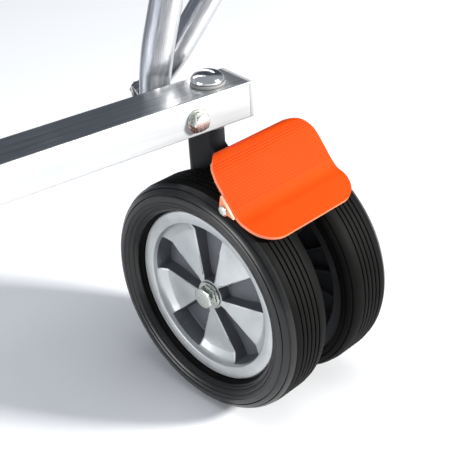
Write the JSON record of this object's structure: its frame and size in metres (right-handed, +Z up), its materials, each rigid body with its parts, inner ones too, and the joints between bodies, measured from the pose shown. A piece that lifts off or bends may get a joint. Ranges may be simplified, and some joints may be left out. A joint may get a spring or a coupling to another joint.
{
  "type": "shopping trolley on wheels",
  "caption": "Lower corner of a shopping trolley: aluminium box rail with bolted frame tubes, carried by a swivelling twin-wheel castor with a foot brake pedal.",
  "frame": {"origin": "centre of the rail's open end, on the rail's own centre line", "axes": "+X along the rail to its capped end, +Z up, -Y the front face with the bolt head"},
  "size_m": [0.2952, 0.2126, 0.3603],
  "materials": {
    "aluminium": "mill-polished tube with fine lengthwise streaks",
    "chrome": "mirror bright",
    "zinc": "bright zinc plating with a faint yellow tint",
    "grey_plastic": "light grey moulded plastic",
    "rim_plastic": "silver-grey moulded plastic, satin",
    "tyre": "black rubber, slightly glossy",
    "black_plastic": "black moulded plastic, satin",
    "orange_plastic": "orange moulded plastic, satin, fine grip ribs"
  },
  "bodies": {
    "rail_frame": {"rail": "aluminium", "rail_end_cap": "grey_plastic", "crush_sleeve": "zinc", "cross_bolt": "zinc", "cross_bolt_washer": "zinc", "upright_washer": "grey_plastic", "brace_washer": "grey_plastic", "cross_nut_washer": "zinc", "cross_nut": "zinc", "upright_tube": "aluminium", "brace_tube": "aluminium", "upper_bush": "grey_plastic", "lower_bush": "black_plastic"},
    "castor": {"fork": "black_plastic", "kingpin": "zinc", "dome_cap": "chrome", "thrust_washer": "zinc", "axle_bolt": "zinc", "front_axle_washer": "zinc", "rear_axle_washer": "zinc", "front_hub_spacer": "zinc", "rear_hub_spacer": "zinc", "axle_nut": "zinc"},
    "front_wheel": {"front_rim": "rim_plastic", "front_tyre": "tyre", "front_outer_bearing": "zinc", "front_inner_bearing": "zinc"},
    "rear_wheel": {"rear_rim": "rim_plastic", "rear_tyre": "tyre", "rear_outer_bearing": "zinc", "rear_inner_bearing": "zinc"},
    "pedal": {"brake_pedal": "orange_plastic", "pedal_pin": "zinc", "pin_clip": "zinc"}
  },
  "joints": [
    {"name": "castor_swivel", "type": "hinge", "parent": "rail_frame", "child": "castor", "pos_m": [0.215, 0, -0.015], "axis": [0, 0, 1], "continuous": true},
    {"name": "front_wheel_spin", "type": "hinge", "parent": "castor", "child": "front_wheel", "pos_m": [0.22048, -0.03457, -0.1435], "axis": [0.9877, 0.1564, 0], "continuous": true},
    {"name": "rear_wheel_spin", "type": "hinge", "parent": "castor", "child": "rear_wheel", "pos_m": [0.22048, -0.03457, -0.1435], "axis": [0.9877, 0.1564, 0], "continuous": true},
    {"name": "brake_pedal_rock", "type": "hinge", "parent": "castor", "child": "pedal", "pos_m": [0.2262, -0.07069, -0.04721], "axis": [-0.9877, -0.1564, 0], "range_deg": [0, 11]}
  ]
}
